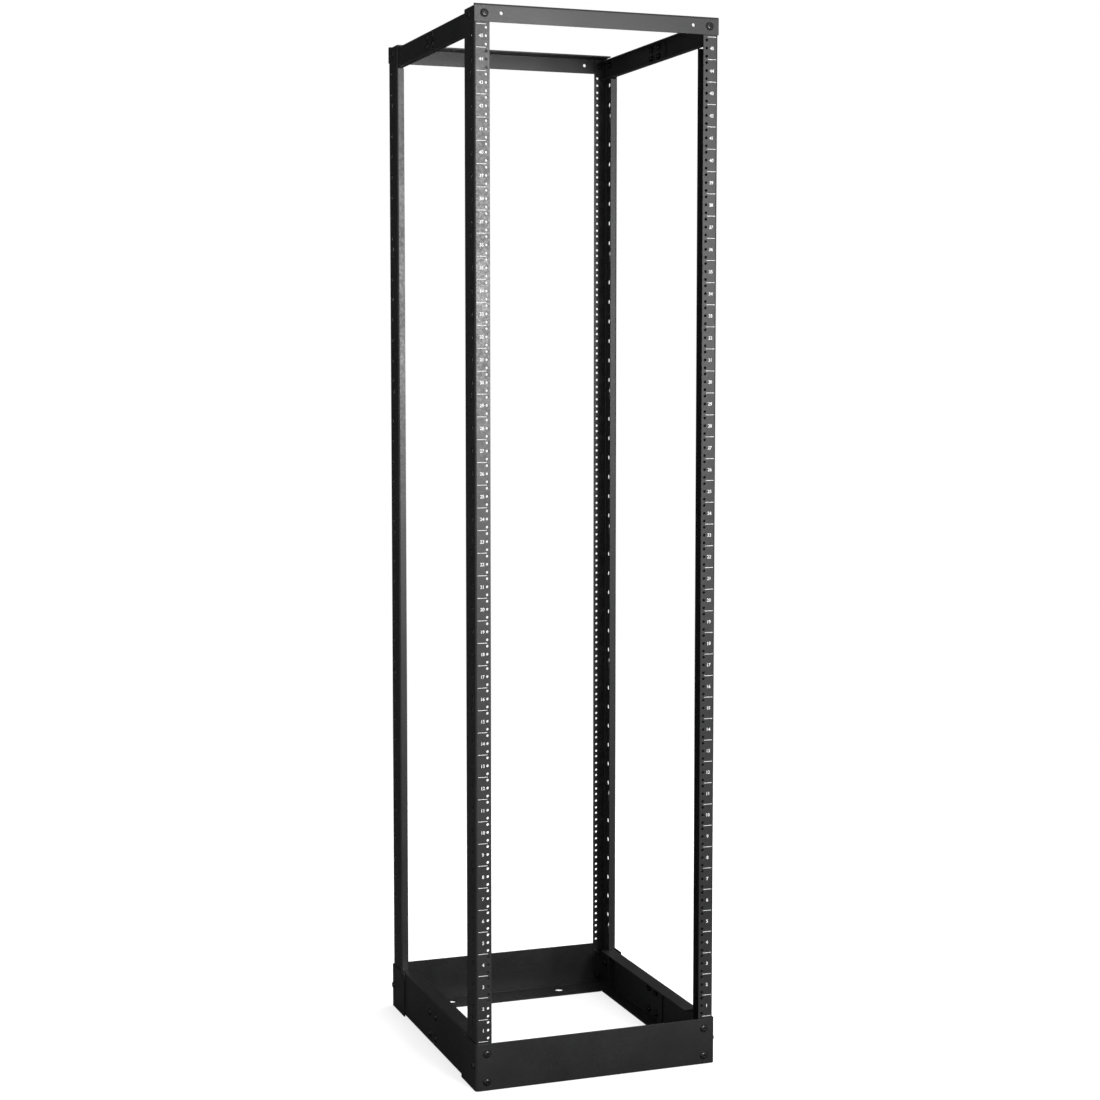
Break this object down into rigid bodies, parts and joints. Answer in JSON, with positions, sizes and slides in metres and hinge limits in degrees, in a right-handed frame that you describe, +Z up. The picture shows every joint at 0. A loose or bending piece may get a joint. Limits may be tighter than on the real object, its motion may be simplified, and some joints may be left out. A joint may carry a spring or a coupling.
{
  "type": "four post open frame rack",
  "caption": "Open frame of four channel posts with mounting holes front and rear, on a bolted base of skirts and rails, tied at the top by angles and side rails.",
  "frame": {"origin": "on the floor at the middle of the rack's footprint", "axes": "+X to the right seen from the front, +Y from the numbered front to the rear, +Z up"},
  "size_m": [0.5204, 0.6096, 2.139],
  "materials": {
    "black_paint": "satin black powder coat"
  },
  "bodies": {
    "root": {"post_front_left": "black_paint", "post_front_right": "black_paint", "post_rear_left": "black_paint", "post_rear_right": "black_paint", "base_skirt_front": "black_paint", "base_skirt_rear": "black_paint", "top_angle_front": "black_paint", "top_angle_rear": "black_paint", "base_rail_front_left": "black_paint", "base_rail_front_right": "black_paint", "base_rail_rear_left": "black_paint", "base_rail_rear_right": "black_paint", "base_joint_left": "black_paint", "base_joint_right": "black_paint", "top_rail_front_left": "black_paint", "top_rail_front_right": "black_paint", "top_rail_rear_left": "black_paint", "top_rail_rear_right": "black_paint", "top_joint_left": "black_paint", "top_joint_right": "black_paint"}
  },
  "joints": []
}
